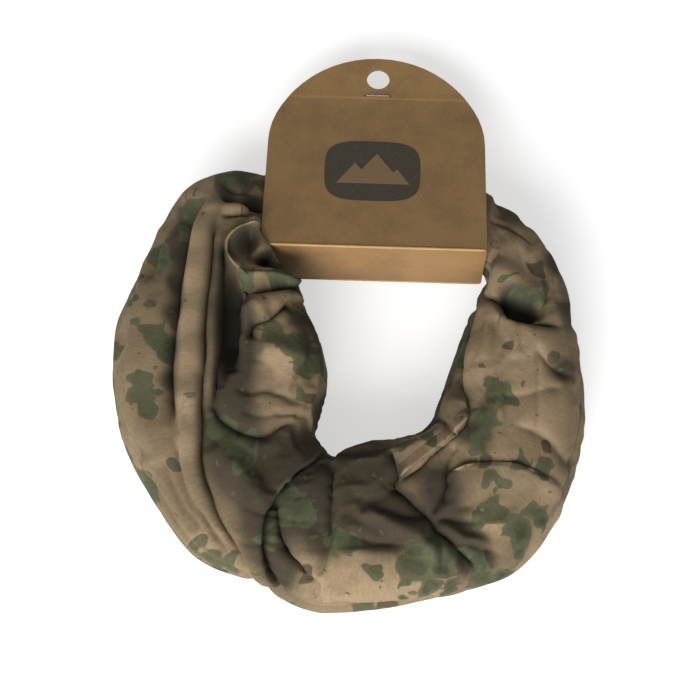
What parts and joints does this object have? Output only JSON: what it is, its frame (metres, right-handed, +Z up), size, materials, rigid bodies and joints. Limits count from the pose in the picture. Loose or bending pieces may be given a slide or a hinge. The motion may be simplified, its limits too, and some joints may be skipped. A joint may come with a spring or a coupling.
{
  "type": "neck gaiter",
  "caption": "Soft knit tube scarf gathered into a ring, held by a folded kraft hang card that is stapled under its hang hole.",
  "frame": {"origin": "middle of the whole outline, ring and card together, on the plane the ring rests on", "axes": "+Z up from the resting plane; +Y towards the card's hang hole; +X to the right as seen from above with the hang hole away from the viewer"},
  "size_m": [0.1732, 0.2137, 0.0449],
  "materials": {
    "printed_knit": "matte polyester knit printed in khaki, brown and green patches",
    "kraft_board": "uncoated brown kraft board, about 300 g per square metre",
    "staple_wire": "galvanised staple wire"
  },
  "bodies": {
    "gaiter": {"gaiter": "printed_knit"},
    "card_base": {"card_base": "kraft_board"},
    "card_front": {"card_front": "kraft_board"},
    "card_back": {"card_back": "kraft_board"},
    "staple": {"staple": "staple_wire"}
  },
  "joints": [
    {"name": "card_swing", "type": "hinge", "parent": "gaiter", "child": "card_base", "pos_m": [0.00782, 0.03315, 0.0235], "axis": [1, 0, 0], "range_deg": [-10, 30]},
    {"name": "front_crease", "type": "hinge", "parent": "card_base", "child": "card_front", "pos_m": [0.00782, 0.02348, 0.03879], "axis": [1, 0, 0], "range_deg": [0, 100]},
    {"name": "back_crease", "type": "hinge", "parent": "card_base", "child": "card_back", "pos_m": [0.00782, 0.02007, 0.011], "axis": [1, 0, 0], "range_deg": [-100, 0]},
    {"name": "staple_pull", "type": "slide", "parent": "card_front", "child": "staple", "axis": [0, 0.1219, 0.9925], "range_m": [0, 0.006]}
  ]
}
